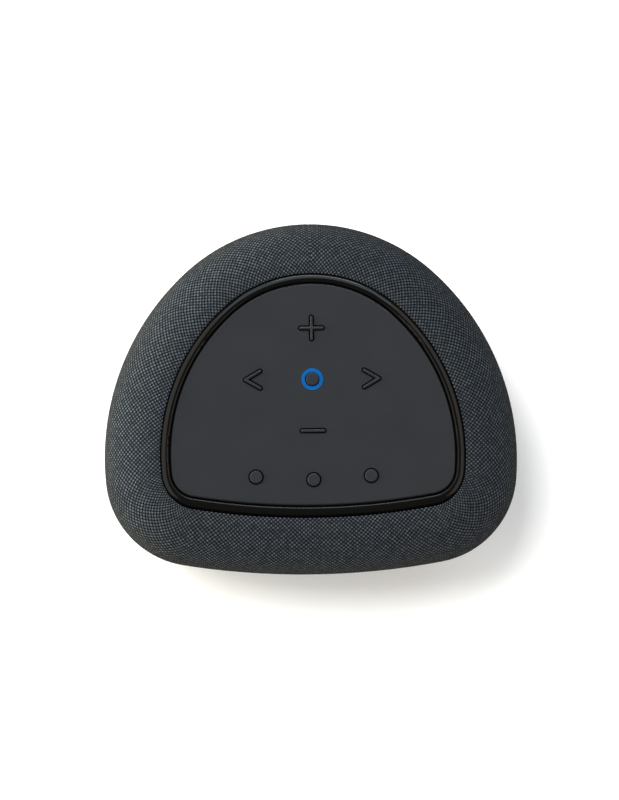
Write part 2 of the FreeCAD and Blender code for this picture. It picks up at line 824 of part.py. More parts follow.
# name: middle of the part on its board, half sizes across and along (one radius for a round can), height
MAIN_BOARD_PARTS = {
    "amplifier_chip": (("-23", "-4"), ("5", "6"), "1.2"),
    "coil_left": (("24", "-7"), ("5", "5"), "5"),
    "coil_right": (("24", "5"), ("5", "5"), "5"),
    "capacitor_left": (("-22", "-20"), ("3.5",), "9"),
    "capacitor_right": (("22", "-22"), ("3.5",), "9"),
}
POWER_BOARD_PARTS = {
    "transformer": (("-11", "-7"), ("9", "9"), "10"),
    "choke": (("9", "-9"), ("5", "5"), "7"),
    "rectifier": (("10", "4"), ("6", "2"), "9"),
    "reservoir_left": (("-12", "12"), ("5",), "10.5"),
    "reservoir_right": (("2", "14"), ("5",), "10.5"),
}


def board_parts(places, seat):
    """The blocks and round cans that stand on a board."""
    parts = []
    for name, ((across, up), half, height) in places.items():
        top = f"{seat} + {height}"
        if len(half) == 1:
            parts.append(rod(name, (across, up), seat, top, half[0]))
        else:
            parts.append(block(name, (f"{across} - {half[0]}", f"{up} - {half[1]}", seat),
                               (f"{across} + {half[0]}", f"{up} + {half[1]}", top)))
    return parts


def make_main_board():
    finished(block("main_board", ("-main_board_half_width", "main_board_front", "main_board_low"),
                   ("main_board_half_width", "main_board_back", MAIN_BOARD_TOP)))
    finished(block("processor_shield", ("-shield_half_width", "shield_front", MAIN_BOARD_TOP),
                   ("shield_half_width", "shield_back", f"{MAIN_BOARD_TOP} + shield_height")))
    finished(grouped("main_board_parts", board_parts(MAIN_BOARD_PARTS, MAIN_BOARD_TOP)))


def make_heat_sink():
    """A plate on the processor shield with upright fins across it."""
    seat = f"{MAIN_BOARD_TOP} + shield_height"
    plate = block("sink_plate", ("-sink_half_width", "shield_front", seat),
                  ("sink_half_width", "shield_back", f"{seat} + sink_plate_thickness"))
    fins = [block(f"sink_fin_{index}", (f"{index}*fin_pitch - sink_half_width", "shield_front", seat),
                  (f"{index}*fin_pitch - sink_half_width + fin_thickness", "shield_back",
                   f"{seat} + fin_height")) for index in range(8)]
    finished(joined("heat_sink", [plate, *fins]))


def make_ribbon():
    low_end = f"{MAIN_BOARD_TOP} + connector_height"
    high_end = "control_board_low - connector_height"
    finished(grouped("ribbon_connectors", [
        ribbon_block("ribbon_connector_low", "connector_half_width", "connector_half_depth",
                     MAIN_BOARD_TOP, low_end),
        ribbon_block("ribbon_connector_high", "connector_half_width", "connector_half_depth",
                     high_end, "control_board_low")]))
    finished(ribbon_block("control_ribbon_cable", "ribbon_half_width", "ribbon_half_thickness",
                          low_end, high_end))


def make_antennas():
    """Two thin boards that hang from the shelf, one on each side."""
    low = "shelf_low - antenna_height"
    finished(grouped("wifi_antennas", [
        block("antenna_left", ("-antenna_outer", "antenna_front", low),
              ("-antenna_inner", "antenna_back", "shelf_low")),
        block("antenna_right", ("antenna_inner", "antenna_front", low),
              ("antenna_outer", "antenna_back", "shelf_low"))]))


# ---------------------------------------------------------------- sealed enclosure

def make_enclosure():
    """Tub with its front cut flat for the baffle and a round well in its back for the passive radiator."""
    tub = new_body("enclosure_tub")
    pad(tub, outline_sketch(tub, "enclosure_low", "enclosure_inset"), "enclosure_rim - enclosure_low")
    pocket(tub, outline_sketch(tub, "enclosure_low + enclosure_wall", "enclosure_inset + enclosure_wall"),
           "enclosure_rim - enclosure_low - enclosure_wall")
    well = cross_rod("radiator_well", "0", "radiator_level", "radiator_seat - well_depth",
                     "radiator_seat + well_rise", "radiator_radius + radiator_gap + well_wall")
    openings = [
        block("front_cut", ("-depth", "-depth", "enclosure_low"), ("depth", "baffle_back", "enclosure_rim")),
        cross_rod("radiator_recess", "0", "radiator_level", "radiator_seat", "depth",
                  "radiator_radius + radiator_gap"),
        cross_rod("radiator_hole", "0", "radiator_level", "radiator_seat - 2*well_depth", "depth",
                  "radiator_hole"),
    ]
    finished(cut("enclosure_body", joined("enclosure_walls", [tub, well]), openings))
    lid = new_body("enclosure_lid_blank")
    pad(lid, outline_sketch(lid, "lid_low", "enclosure_inset"), "lid_top - lid_low")
    front = block("lid_front_cut", ("-depth", "-depth", "lid_low"), ("depth", "baffle_front", "lid_top"))
    finished(cut("enclosure_lid", lid, [front]))
    gasket = new_body("enclosure_gasket_blank")
    sweep_round(gasket, section_sketch(gasket, [
        ("enclosure_inset + gasket_margin", "enclosure_rim"),
        ("enclosure_inset + enclosure_wall - gasket_margin", "enclosure_rim"),
        ("enclosure_inset + enclosure_wall - gasket_margin", "lid_low"),
        ("enclosure_inset + gasket_margin", "lid_low"),
    ]))
    gasket_front = block("gasket_front_cut", ("-depth", "-depth", "enclosure_rim"),
                         ("depth", "baffle_back", "lid_low"))
    finished(cut("enclosure_gasket", gasket, [gasket_front]))


def make_front_baffle():
    board = block("baffle_board", ("-baffle_half_width", "baffle_front", "enclosure_low + baffle_lift"),
                  ("baffle_half_width", "baffle_back", "lid_low"))
    holes = [cross_rod("woofer_opening", "0", "woofer_level", "baffle_front", "baffle_back", "woofer_hole")]
    for side in (-1, 1):
        holes.append(cross_rod(f"tweeter_opening_{side + 1}", f"{side}*tweeter_x", "tweeter_level",
                               "baffle_front", "baffle_back", "tweeter_radius - tweeter_lip"))
    for index, (across, level) in enumerate(woofer_screw_places()):
        holes.append(cross_rod(f"woofer_screw_hole_{index}", across, level, "baffle_front", "baffle_back",
                               "screw_hole_radius"))
    finished(cut("front_baffle", board, holes))


def woofer_screw_places():
    reach = "(woofer_radius - woofer_screw_inset)*sqrt(0.5)"
    return [(f"{side}*{reach}", f"woofer_level + {rise}*{reach}") for side in (-1, 1) for rise in (-1, 1)]


# ---------------------------------------------------------------- drivers

def crown_radius(reach, rise):
    """Radius of a round crown of this half width and rise, centred on the axis."""
    return f"({reach}^2 + {rise}^2)/(2*{rise})"


def make_woofer():
    place = facing(-1, "0", "baffle_front", "woofer_level")
    blank = new_body("basket_blank")
    turn(blank, traced_sketch(blank, "XZ_Plane", [
        ("woofer_radius", "0"), ("woofer_radius", "woofer_flange"), ("38.4", "woofer_flange"),
        ("38.4", "1.4"), ("34", "1.4"), ("34", "-3.4"), ("20.9", "-23.3"), ("20.9", "-25.2"),
        ("12", "-25.2"), ("12", "-27"), ("22.5", "-27"), ("22.5", "-24"), ("35.6", "-4.2"), ("35.6", "0")]))
    blank.Placement = place
    windows = []
    for index in range(3):
        window = document.addObject("Part::Box", f"basket_window_{index}")
        window.setExpression("Length", sized("2*woofer_radius"))
        window.setExpression("Width", sized("basket_window_width"))
        window.setExpression("Height", sized("basket_window_height"))
        low_corner = Vector(-number("woofer_radius"), -number("basket_window_width/2"),
                            number("basket_window_low"))
        spin = Placement(Vector(), Rotation(ALONG_Z, 60 * index))
        window.Placement = place.multiply(spin).multiply(Placement(low_corner, Rotation()))
        windows.append(window)
    flange_front = "baffle_front - woofer_flange"
    screw_holes = [cross_rod(f"basket_screw_hole_{index}", across, level, flange_front, "baffle_front",
                             "screw_hole_radius")
                   for index, (across, level) in enumerate(woofer_screw_places())]
    finished(cut("woofer_basket", blank, windows + screw_holes))
    turned_piece("woofer_top_plate", [("10.6", "-31"), ("23", "-31"), ("23", "-27"), ("10.6", "-27")], place)
    turned_piece("woofer_magnet", [("12", "-43"), ("25", "-43"), ("25", "-31"), ("12", "-31")], place)
    turned_piece("woofer_pole_yoke", [("0", "-47"), ("23", "-47"), ("23", "-43"), ("9.2", "-43"),
                                      ("9.2", "-27"), ("0", "-27")], place)
    turned_piece("woofer_spider", [("10.9", "-24.3"), ("13", "-23.5"), ("15.4", "-24.3"), ("17.8", "-23.5"),
                                   ("20.8", "-24.3"), ("20.8", "-24.9"), ("17.8", "-24.1"),
                                   ("15.4", "-24.9"), ("13", "-24.1"), ("10.9", "-24.9")], place)
    turned_piece("woofer_surround", [("32.8", "1.5"), ("33.4", "1.5", "-2.1"), ("35.5", "3.6", "-2.1"),
                                     ("37.6", "1.5"), ("38.2", "1.5", "2.7"), ("35.5", "4.2", "2.7")],
                 place)
    turned_piece("woofer_voice_coil", [("9.5", "-36"), ("10.3", "-36"), ("10.3", "-16.7"),
                                       ("9.5", "-16.7")], place)
    turned_piece("woofer_cone", [("9.5", "-16.7"), ("10.1", "-16.7"), ("31.3", "-1.1"), ("32.2", "-1.1"),
                                 ("32.2", "-0.3"), ("30.8", "-0.3"), ("9.5", "-16")], place)
    turned_piece("woofer_dust_cap", [("0", "-10.1"), ("12.2", "-13.5"), ("12.6", "-13.7"),
                                     ("12.6", "-13", crown_radius(12.6, 3.5)), ("0", "-9.5")], place)
    screws = []
    for index, (across, level) in enumerate(woofer_screw_places()):
        head = cross_rod(f"woofer_screw_head_{index}", across, level, f"{flange_front} - screw_head_height",
                         flange_front, "woofer_screw_head_radius")
        shank = cross_rod(f"woofer_screw_shank_{index}", across, level, flange_front, "baffle_back",
                          "woofer_screw_radius")
        screws.append(joined(f"woofer_screw_{index}", [head, shank]))
    finished(grouped("woofer_screws", screws))


def make_tweeter(name, side):
    """Frame and moving dome of one tweeter. Returns its magnet."""
    place = facing(-1, f"{side}*tweeter_x", "baffle_front", "tweeter_level")
    turned_piece(f"{name}_frame", [("10.3", "-12"), ("11.2", "-12"), ("11.2", "0"), ("tweeter_radius", "0"),
                                   ("tweeter_radius", "tweeter_lip"), ("10.3", "tweeter_lip")], place)
    turned_piece(f"{name}_dome", [("9.6", "-1.2"), ("9.6", "-0.7"), ("8.6", "-0.7", crown_radius(8.6, 3)),
                                  ("0", "2.3"), ("0", "1.8"), ("8.3", "-1.2")], place)
    magnet = new_body(f"{name}_magnet")
    turn(magnet, traced_sketch(magnet, "XZ_Plane", [("0", "-14"), ("10.2", "-14"), ("10.2", "-3"),
                                                    ("0", "-3")]))
    magnet.Placement = place
    return magnet


def make_passive_radiator():
    place = facing(1, "0", "radiator_seat", "radiator_level")
    turned_piece("radiator_frame", [("22.2", "0"), ("radiator_radius", "0"), ("radiator_radius", "2.6"),
                                    ("23.6", "2.6"), ("23.6", "1.2"), ("22.2", "1.2")], place)
    turned_piece("radiator_surround", [("18.3", "1.3"), ("18.9", "1.3", "-2"), ("20.9", "3.3", "-2"),
                                       ("22.9", "1.3"), ("23.5", "1.3", "2.6"), ("20.9", "3.9", "2.6")],
                 place)
    turned_piece("radiator_cone", [("0", "-1.4"), ("12", "-1.4"), ("12.8", "-0.2"), ("17.8", "-0.2"),
                                   ("17.8", "0.8"), ("12", "0.8"), ("9", "-0.2"), ("0", "-0.2")], place)


# ---------------------------------------------------------------- base

BASE_SCREWS = [("base_front_x", "base_front_y"), ("-base_front_x", "base_front_y"),
               ("base_rear_x", "base_rear_y"), ("-base_rear_x", "base_rear_y")]


def make_base_cover():
    """Cup with a leaning visible band, a spigot inside the skin, screw posts and a window for the sockets."""
    cup = new_body("base_cup")
    sweep_round(cup, section_sketch(cup, [
        ("band_low_inset", "base_low"),
        ("spigot_inner", "base_low"),
        ("spigot_inner", "enclosure_low"),
        ("spigot_outer", "enclosure_low"),
        ("spigot_outer", "skin_low - band_gap"),
        ("band_high_inset", "skin_low - band_gap"),
    ]))
    pad(cup, outline_sketch(cup, "base_low", "base_floor_inset"), "floor_top - base_low")
    posts = [rod(f"base_post_{index}", centre, "floor_top", "enclosure_low", "base_post_radius")
             for index, centre in enumerate(BASE_SCREWS)]
    holes = [rod(f"base_hole_{index}", centre, "base_low", "enclosure_low", "screw_hole_radius")
             for index, centre in enumerate(BASE_SCREWS)]
    holes += [rod(f"base_counterbore_{index}", centre, "base_low", "base_low + base_counterbore_depth",
                  "base_counterbore_radius")
              for index, centre in enumerate(BASE_SCREWS)]
    window = block("socket_window", ("-socket_plate_half", "socket_plate_back - 1", "floor_top"),
                   ("socket_plate_half", "depth", "socket_window_top"))
    finished(cut("base_cover", joined("base_solid", [cup, *posts]), holes + [window]))


def make_base_screws():
    screws = []
    for index, centre in enumerate(BASE_SCREWS):
        head = rod(f"base_screw_head_{index}", centre, "base_low + base_screw_sink",
                   "base_low + base_counterbore_depth", "base_screw_head_radius")
        shank = rod(f"base_screw_shank_{index}", centre, "base_low + base_counterbore_depth", "enclosure_low",
                    "base_screw_radius")
        screws.append(joined(f"base_screw_{index}", [head, shank]))
    finished(grouped("base_screws", screws))


def make_rubber_foot():
    ring_piece("rubber_foot", [
        ("foot_outer + foot_chamfer", "0"),
        ("foot_inner - foot_chamfer", "0"),
        ("foot_inner", "foot_chamfer"),
        ("foot_inner", "base_low"),
        ("foot_outer", "base_low"),
        ("foot_outer", "foot_chamfer"),
    ])


def make_power_board():
    finished(block("power_board", ("-power_board_half_width", "power_board_front", "power_board_low"),
                   ("power_board_half_width", "power_board_back", POWER_BOARD_TOP)))
    finished(grouped("power_board_parts", board_parts(POWER_BOARD_PARTS, POWER_BOARD_TOP)))


def make_sockets():
    """Power and line-in sockets behind one flat plate in the back of the base."""
    plate = block("socket_blank", ("-socket_plate_half", "socket_plate_back", "floor_top"),
                  ("socket_plate_half", "socket_plate_front", "socket_window_top"))
    plate_holes = [cross_rod("power_plate_hole", "-socket_x", "socket_level", "socket_plate_back",
                             "socket_plate_front", "power_bore + power_plate_gap"),
                   cross_rod("aux_plate_hole", "socket_x", "socket_level", "socket_plate_back",
                             "socket_plate_front", "aux_jack_half")]
    finished(cut("socket_plate", plate, plate_holes))
    power = block("power_jack_blank", ("-socket_x - power_jack_half", "socket_plate_back - power_jack_depth",
                                       "floor_top + jack_gap"),
                  ("-socket_x + power_jack_half", "socket_plate_back", "socket_window_top - jack_gap"))
    bore_end = "socket_plate_back - power_bore_depth"
    power_bore = cross_rod("power_jack_bore", "-socket_x", "socket_level", bore_end, "socket_plate_back",
                           "power_bore")
    finished(cut("power_jack", power, [power_bore]))
    finished(cross_rod("power_jack_pin", "-socket_x", "socket_level", bore_end,
                       "socket_plate_back - power_pin_setback", "power_pin_radius"))
    aux_end = "socket_plate_back - aux_depth"
    aux = block("aux_jack_blank", ("socket_x - aux_jack_half", aux_end, "socket_level - aux_jack_half"),
                ("socket_x + aux_jack_half", "socket_plate_back", "socket_level + aux_jack_half"))
    aux_bore = cross_rod("aux_jack_bore", "socket_x", "socket_level", aux_end, "socket_plate_back", "aux_bore")
    finished(cut("aux_jack", aux, [aux_bore]))


# ---------------------------------------------------------------- build and write

def make_all():
    make_fabric_sleeve()
    make_grille_shell()
    make_top_trim_ring()
    make_top_panel()
    for name, (strokes, centre, flange_radius) in KEYS.items():
        make_key(name, strokes, centre, flange_radius)
    make_light_ring()
    make_panel_gasket()
    make_upper_frame()
    make_control_board()
    make_board_spacers()
    make_board_parts()
    make_panel_screws()
    make_main_board()
    make_heat_sink()
    make_ribbon()
    make_antennas()
    make_enclosure()
    make_front_baffle()
    make_woofer()
    magnets = [make_tweeter("tweeter_left", -1), make_tweeter("tweeter_right", 1)]
    finished(grouped("tweeter_magnets", magnets))
    make_passive_radiator()
    make_base_cover()
    make_base_screws()
    make_rubber_foot()
    make_power_board()
    make_sockets()


def check_and_write():
    document.recompute()
    failed = [item.Name for item in document.Objects if {"Invalid", "Error"} & set(item.State)]
    if failed:
        raise RuntimeError("objects that didn't recompute: " + ", ".join(failed))
    for piece in pieces:
        if piece.Shape.isNull() or not piece.Shape.isValid() or not piece.Shape.Solids:
            raise RuntimeError("bad shape: " + piece.Label)
    os.makedirs("parts", exist_ok=True)
    for piece in pieces:
        piece.Shape.exportStep(f"parts/{piece.Label}.step")
        box = piece.Shape.optimalBoundingBox(False)
        print(f"{piece.Label:26s} {len(piece.Shape.Solids):2d} solid(s) {piece.Shape.Volume:10.1f} mm3 "
              f"x {box.XMin:7.2f} {box.XMax:7.2f}  y {box.YMin:7.2f} {box.YMax:7.2f}  "
              f"z {box.ZMin:7.2f} {box.ZMax:7.2f}")
    print(len(pieces), "pieces")


make_all()
check_and_write()
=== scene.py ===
"""Looks of a fabric-covered tabletop smart speaker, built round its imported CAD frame. Metres, +Z up."""
import json
import math

import bpy
import numpy as np
from mathutils import Matrix, Vector


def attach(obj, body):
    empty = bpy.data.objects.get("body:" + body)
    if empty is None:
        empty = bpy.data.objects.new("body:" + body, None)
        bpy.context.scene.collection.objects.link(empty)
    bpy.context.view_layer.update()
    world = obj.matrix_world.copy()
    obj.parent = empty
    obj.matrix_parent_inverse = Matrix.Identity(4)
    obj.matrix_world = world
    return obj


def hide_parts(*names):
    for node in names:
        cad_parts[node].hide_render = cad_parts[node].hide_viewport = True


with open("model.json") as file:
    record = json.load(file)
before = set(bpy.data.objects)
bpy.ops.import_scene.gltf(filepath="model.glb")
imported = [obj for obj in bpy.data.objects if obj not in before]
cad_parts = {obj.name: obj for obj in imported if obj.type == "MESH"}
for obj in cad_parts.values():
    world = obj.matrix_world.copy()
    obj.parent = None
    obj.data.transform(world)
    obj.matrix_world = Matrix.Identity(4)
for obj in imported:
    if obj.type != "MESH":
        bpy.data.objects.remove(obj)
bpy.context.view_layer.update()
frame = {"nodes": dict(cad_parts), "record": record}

MM = 0.001
WHITE = (1.0, 1.0, 1.0)

# plan outline at the widest level, as in the CAD: four radii and the places of their centres
DEPTH = 129.6 * MM
BACK_RADIUS = 67.6 * MM
SIDE_RADIUS = 93.4 * MM
SIDE_CENTRE_Y = -21.8 * MM
CORNER_RADIUS = 33.8 * MM
FRONT_RADIUS = 280.0 * MM

# section of the cloth; its slack is for the front edge, where it eases in towards the fold
CROWN = 185.4 * MM
SHOULDER_RADIUS = 20.0 * MM
SKIN_LOW = 16.0 * MM
FOOT_TAPER = 7.0 * MM
LOWER_ROLL = 6.0 * MM
CLOTH_THICKNESS = 0.55 * MM
FOLD_RADIUS = 0.25 * MM
FOLD_INSET = 20.7 * MM
FOLD_DEPTH = 1.0 * MM
FRONT_SLACK = 0.7 * MM
SLACK_START = 12.0 * MM
SLACK_FOCUS = 3
SLACK_EASE = 2

# how finely the cloth is cut: round the plan, then up the section
PLAN_STEP = 1.6 * MM
ROLL_STEPS = 10
WALL_STEPS = 40
SHOULDER_STEPS = 36
FOLD_STEPS = 8
TAIL_STEPS = 3
INNER_STRIDE = 3

# back seam: two low ridges beside a valley, with the spreads and the ridge's place as shares of its width
SEAM_WIDTH = 1.3 * MM
SEAM_STEP = 0.3 * MM
SEAM_REACH = 3 * SEAM_WIDTH
VALLEY_DEPTH = 0.06 * MM
VALLEY_SPREAD = 0.35
RIDGE_HEIGHT = 0.02 * MM
RIDGE_PLACE = 0.95
RIDGE_SPREAD = 0.5

# weave: how far inside the outline the cloth's girth is taken, then the threads, the yarn's colours and the
# painted shade on the cloth's upright walls
WEAVE_INSET = 10.0 * MM
THREAD_PITCH = 1.14 * MM
THREAD_WANDER = 0.9 * THREAD_PITCH
THREAD_WANDER_SCALE = 110.0
THREAD_SWELL = 0.55
CREST_SHARPNESS = 2.2
THREAD_RELIEF = 0.28 * MM
FIBRE_RELIEF = 0.08 * MM
YARN_DARK = ((0.020, 0.028, 0.040), (0.023, 0.032, 0.037))
YARN_LIGHT = ((0.205, 0.232, 0.290), (0.220, 0.248, 0.275))
YARN_GAP = (0.006, 0.008, 0.012)
# painted shade: the cloth's colour is multiplied by this where it faces sideways, so the upright walls are
# darker and warmer than the top
WALL_PAINTED_SHADE = (0.92, 0.85, 0.73)

# glow of the light guide
GLOW_COLOURS = ((0.002, 0.105, 0.33), (0.003, 0.13, 0.40))
GLOW_STRENGTH = 0.5

# studio
WORLD_COLOUR = (1.0, 0.94, 0.87, 1)
WORLD_BRIGHTNESS = 0.11
FLOOR_HALF_WIDTH = 3.0
FLOOR_GREY = 0.92
FLOOR_GLOW = 0.2
LAMPS_AIM = (0, 0, 0.18)
LAMPS = [
    # name, place, size, how bright its face looks, colour, mirrored in glossy surfaces
    ("left_softbox", (-1.1, 0.1, 0.95), (2.6, 1.1), 0.68, (1.0, 0.97, 0.89), True),
    ("left_low", (-1.3, 0.25, 0.35), (1.6, 0.7), 7.8, (1.0, 0.96, 0.82), False),
    ("right_softbox", (1.1, 0.1, 1.05), (2.6, 1.0), 0.66, (1.0, 0.92, 0.85), True),
    ("front_low", (0.3, -1.4, 0.35), (1.8, 0.5), 2.45, (1.0, 0.98, 0.95), False),
    ("back_softbox", (0, 1.2, 1.0), (1.6, 1.0), 1.24, (0.68, 0.86, 1.0), True),
    ("back_strip", (0.12, 1.3, 0.72), (0.9, 0.1), 7.5, (0.92, 0.93, 0.94), True),
]
OVERHEAD_PLACE = (-0.2, 0.045, 1.6)
OVERHEAD_SIZE = (0.18, 0.18)
OVERHEAD_BRIGHTNESS = 180.0

# camera: its distance from the target, how far it leans off the vertical, its roll and its horizontal angle
CAMERA_TARGET = Vector((-0.33 * MM, -0.5 * MM, CROWN - SHOULDER_RADIUS))
CAMERA_DISTANCE = 0.95
CAMERA_LEAN_LEFT = math.radians(2.2)
CAMERA_LEAN_FRONT = math.radians(4.8)
CAMERA_ROLL = math.radians(-0.88)
CAMERA_ANGLE = math.radians(13.7173)


# ---------------------------------------------------------------- plan and section

def heading(start, end):
    return math.atan2(end.y - start.y, end.x - start.x)


def mirrored(centre):
    return Vector((-centre.x, centre.y))


def outline_arcs():
    """The plan's arcs, counter-clockwise from the middle of the back: (centre, radius, start, end)."""
    back = Vector((0, DEPTH / 2 - BACK_RADIUS))
    front = Vector((0, FRONT_RADIUS - DEPTH / 2))
    reach = SIDE_RADIUS - BACK_RADIUS
    side = Vector((-math.sqrt(reach ** 2 - (SIDE_CENTRE_Y - back.y) ** 2), SIDE_CENTRE_Y))
    from_side = SIDE_RADIUS - CORNER_RADIUS
    from_front = FRONT_RADIUS - CORNER_RADIUS
    link = front - side
    along = (from_side ** 2 - from_front ** 2 + link.length_squared) / (2 * link.length)
    unit = link.normalized()
    corner = side + unit * along + Vector((unit.y, -unit.x)) * math.sqrt(from_side ** 2 - along ** 2)
    to_back = heading(side, back)
    to_side = heading(side, corner)
    to_front = heading(front, corner)
    pi = math.pi
    return [
        (back, BACK_RADIUS, pi / 2, pi - to_back),
        (mirrored(side), SIDE_RADIUS, pi - to_back, pi - to_side),
        (mirrored(corner), CORNER_RADIUS, pi - to_side, pi - to_front),
        (front, FRONT_RADIUS, pi - to_front, 2 * pi + to_front),
        (corner, CORNER_RADIUS, to_front, to_side),
        (side, SIDE_RADIUS, to_side, to_back),
        (back, BACK_RADIUS, to_back, pi / 2),
    ]


def arc_steps(length, step, fine_start, fine_end):
    """Distances along an arc, finer beside the seam where the arc starts or ends at it."""
    low = SEAM_REACH if fine_start else 0.0
    high = length - SEAM_REACH if fine_end else length
    steps = np.linspace(low, high, max(2, round((high - low) / step)), endpoint=False)
    beside_seam = np.linspace(0, SEAM_REACH, round(SEAM_REACH / SEAM_STEP), endpoint=False)
    if fine_start:
        steps = np.concatenate([beside_seam, steps])
    if fine_end:
        steps = np.concatenate([steps, high + beside_seam])
    return steps


def plan_stations(step):
    """Places round the plan: (centre, radius, unit direction, distance from the seam at WEAVE_INSET)."""
    stations = []
    travelled = 0.0
    arcs = outline_arcs()
    for number, (centre, radius, start, end) in enumerate(arcs):
        length = (radius - WEAVE_INSET) * (end - start)
        for distance in arc_steps(length, step, number == 0, number == len(arcs) - 1):
            angle = start + (end - start) * distance / length
            outward = Vector((math.cos(angle), math.sin(angle)))
            stations.append((centre, radius, outward, travelled + distance))
        travelled += length
    return stations, travelled


def arc_run(across, up, radius, start, end, count):
    """(inset, level, outward, upward) along an arc of the section, with the normal's two parts."""
    places = []
    for angle in np.linspace(start, end, count + 1):
        outward, upward = math.cos(angle), math.sin(angle)
        places.append((across - radius * outward, up + radius * upward, outward, upward))
    return places


def straight_run(first, last, count):
    """Places between two section places that share a normal, leaving out both ends."""
    inset, level, *normal = first
    return [(inset + (last[0] - inset) * part, level + (last[1] - level) * part, *normal)
            for part in np.arange(1, count) / count]


def cloth_section():
    """The cloth's outer face in section, from its bottom edge up to the fold beside the trim ring."""
    quarter = math.pi / 2
    roll = (FOOT_TAPER + LOWER_ROLL, SKIN_LOW + LOWER_ROLL)
    shoulder = (SHOULDER_RADIUS, CROWN - SHOULDER_RADIUS)
    inward = shoulder[0] - roll[0]
    rise = shoulder[1] - roll[1]
    lean = math.atan2(inward, rise) - math.asin((SHOULDER_RADIUS - LOWER_ROLL) / math.hypot(inward, rise))
    fold_across = FOLD_INSET - FOLD_RADIUS
    fold_angle = math.acos((SHOULDER_RADIUS - fold_across) / (SHOULDER_RADIUS - FOLD_RADIUS))
    fold_up = shoulder[1] + (SHOULDER_RADIUS - FOLD_RADIUS) * math.sin(fold_angle)
    low = arc_run(*roll, LOWER_ROLL, -quarter, lean, ROLL_STEPS)
    high = arc_run(*shoulder, SHOULDER_RADIUS, lean, fold_angle, SHOULDER_STEPS)
    fold = arc_run(fold_across, fold_up, FOLD_RADIUS, fold_angle, math.pi, FOLD_STEPS)
    tail = (FOLD_INSET, fold_up - FOLD_DEPTH, *fold[-1][2:])
    wall = straight_run(low[-1], high[0], WALL_STEPS)
    return low + wall + high + fold[1:] + straight_run(fold[-1], tail, TAIL_STEPS) + [tail]


def seam_relief(distance):
    """Height of the cloth beside its back seam: a narrow valley between two low ridges."""
    off = distance / SEAM_WIDTH
    valley = VALLEY_DEPTH * math.exp(-(off / VALLEY_SPREAD) ** 2)
    ridge = RIDGE_HEIGHT * math.exp(-((off - RIDGE_PLACE) / RIDGE_SPREAD) ** 2)
    return ridge - valley


# ---------------------------------------------------------------- meshes

def new_object(name, vertices, faces, smooth=True):
    mesh = bpy.data.meshes.new(name)
    mesh.from_pydata([tuple(v) for v in vertices], [], faces)
    mesh.update()
    thing = bpy.data.objects.new(name, mesh)
    bpy.context.scene.collection.objects.link(thing)
    if smooth:
        mesh.polygons.foreach_set("use_smooth", [True] * len(mesh.polygons))
    return thing


def inner_places(outer):
    """The cloth's inner face, one thickness behind the outer one, from the fold down to the bottom edge."""
    def behind(inset, level, outward, upward):
        return inset + outward * CLOTH_THICKNESS, level - upward * CLOTH_THICKNESS, outward, upward

    inner = [behind(*place) for place in outer[::-INNER_STRIDE]]
    if inner[-1] != behind(*outer[0]):
        inner.append(behind(*outer[0]))
    return inner


def ring_vertices(station, around, outer, section):
    """The section's places at one station round the plan."""
    centre, radius, direction, distance = station
    relief = seam_relief(min(distance, around - distance))
    slack = FRONT_SLACK * max(0.0, -direction.y) ** SLACK_FOCUS
    vertices = []
    for index, (inset, level, outward, upward) in enumerate(section):
        lift = relief if index < len(outer) else 0.0
        near_fold = min(max((inset - SLACK_START) / (FOLD_INSET - SLACK_START), 0.0), 1.0)
        reach = radius - inset + slack * near_fold ** SLACK_EASE + lift * outward
        vertices.append((centre.x + direction.x * reach, centre.y + direction.y * reach,
                         level + lift * upward))
    return vertices


def build_cloth():
    """One closed skin: the outer face, its fold and the inner face, with places on the cloth as its UVs."""
    stations, around = plan_stations(PLAN_STEP)
    outer = cloth_section()
    section = outer + inner_places(outer)
    heights = [0.0]
    for before, after in zip(outer, outer[1:]):
        heights.append(heights[-1] + math.hypot(after[0] - before[0], after[1] - before[1]))
    up_cloth = heights + heights[::-INNER_STRIDE]
    up_cloth += [0.0] * (len(section) - len(up_cloth))
    vertices = []
    for station in stations:
        vertices += ring_vertices(station, around, outer, section)
    count = len(section)
    faces = []
    places = []
    for here in range(len(stations)):
        following = (here + 1) % len(stations)
        start = stations[here][3]
        end = stations[following][3] or around
        for low in range(count):
            high = (low + 1) % count
            faces.append((here * count + high, following * count + high,
                          following * count + low, here * count + low))
            places += [(start, up_cloth[high]), (end, up_cloth[high]), (end, up_cloth[low]),
                       (start, up_cloth[low])]
    cloth = new_object("fabric_cover", vertices, faces)
    layer = cloth.data.uv_layers.new(name="cloth")
    for loop, place in zip(layer.data, places):
        loop.uv = place
    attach(cloth, "housing")
    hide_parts("fabric_sleeve")
    return cloth


# ---------------------------------------------------------------- materials

